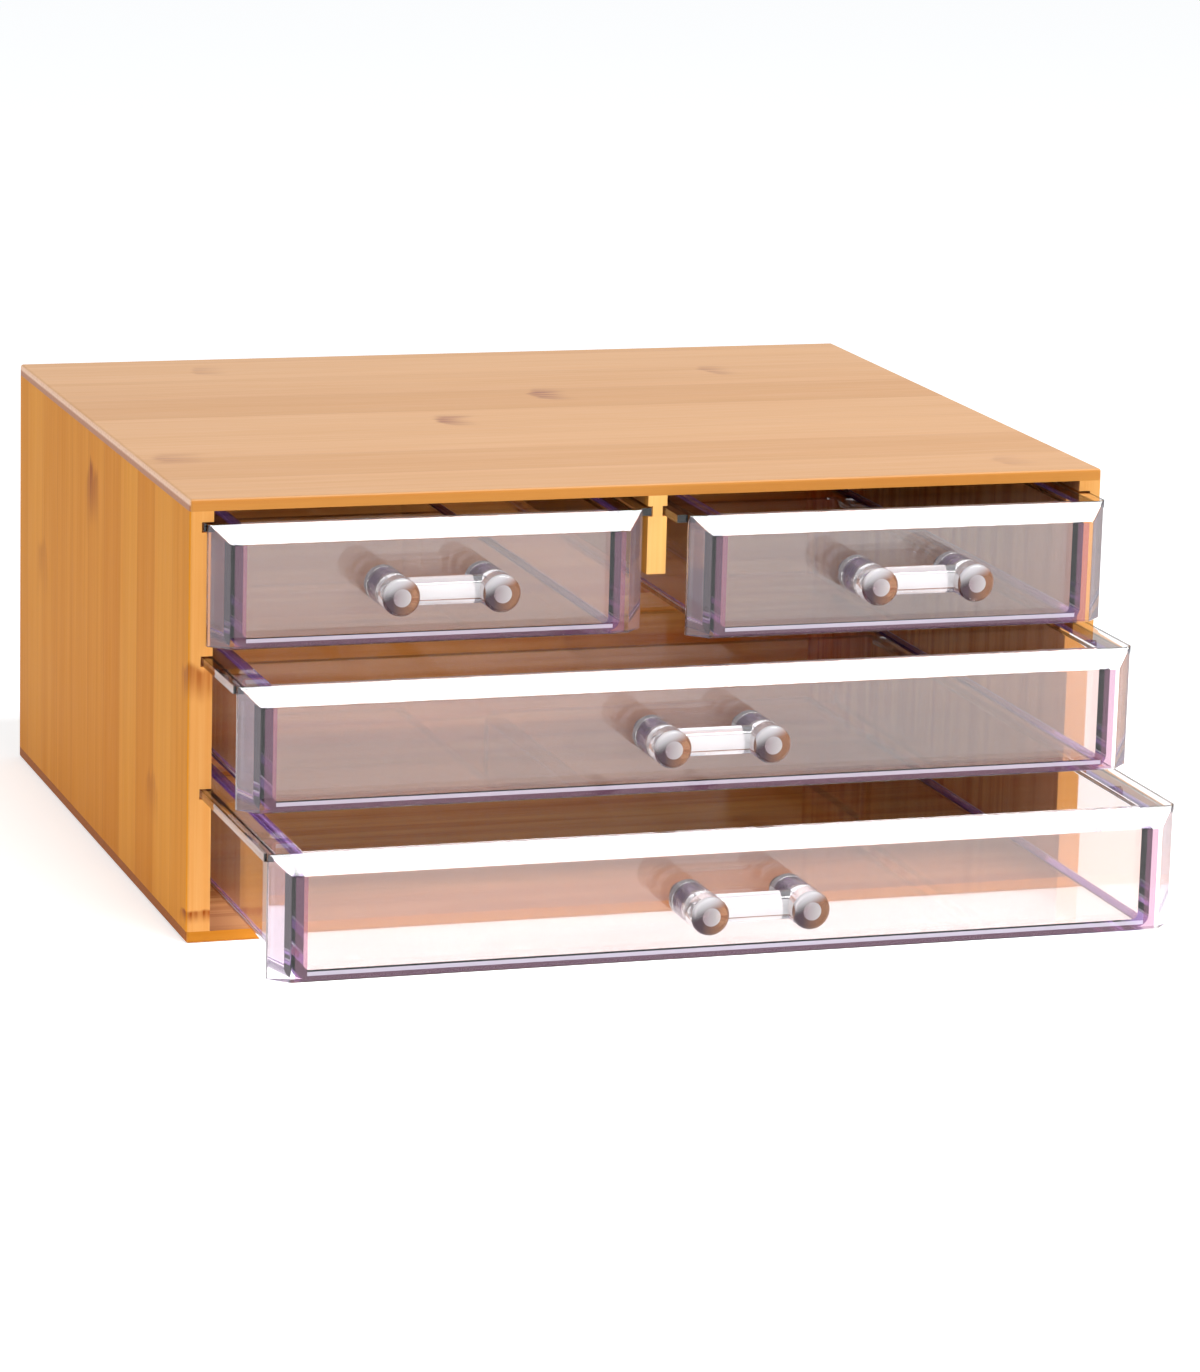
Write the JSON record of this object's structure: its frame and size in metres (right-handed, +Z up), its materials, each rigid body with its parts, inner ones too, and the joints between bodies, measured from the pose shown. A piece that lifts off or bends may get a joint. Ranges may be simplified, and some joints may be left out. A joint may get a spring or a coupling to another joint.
{
  "type": "bamboo drawer organizer",
  "caption": "Open-fronted bamboo case with clear plastic drawers that slide on side rims, each with a bar pull, for make-up and small things.",
  "frame": {"origin": "centre of the case's rectangular underside, on the surface that it stands on", "axes": "+X to the right as seen from the front, +Y to the back, so that the drawers open along -Y, and +Z up"},
  "size_m": [0.24, 0.2863, 0.112],
  "materials": {
    "bamboo": "thin satin lacquer",
    "clear_plastic": "clear, polished",
    "screw_steel": "bright zinc plate"
  },
  "bodies": {
    "case": {"top_panel": "bamboo", "bottom_panel": "bamboo", "left_side": "bamboo", "right_side": "bamboo", "back_panel": "bamboo", "centre_rail": "bamboo"},
    "bottom_drawer": {"drawer_bottom": "clear_plastic", "handle_bottom": "clear_plastic", "handle_screws_bottom": "screw_steel"},
    "middle_drawer": {"drawer_middle": "clear_plastic", "handle_middle": "clear_plastic", "handle_screws_middle": "screw_steel"},
    "top_left_drawer": {"drawer_top_left": "clear_plastic", "handle_top_left": "clear_plastic", "handle_screws_top_left": "screw_steel"},
    "top_right_drawer": {"drawer_top_right": "clear_plastic", "handle_top_right": "clear_plastic", "handle_screws_top_right": "screw_steel"}
  },
  "joints": [
    {"name": "bottom_drawer_slide", "type": "slide", "parent": "case", "child": "bottom_drawer", "axis": [0, -1, 0], "range_m": [-0.062, 0.1]},
    {"name": "middle_drawer_slide", "type": "slide", "parent": "case", "child": "middle_drawer", "axis": [0, -1, 0], "range_m": [-0.031, 0.131]},
    {"name": "top_left_drawer_slide", "type": "slide", "parent": "case", "child": "top_left_drawer", "axis": [0, -1, 0], "range_m": [0, 0.162]},
    {"name": "top_right_drawer_slide", "type": "slide", "parent": "case", "child": "top_right_drawer", "axis": [0, -1, 0], "range_m": [-0.01, 0.152]}
  ]
}
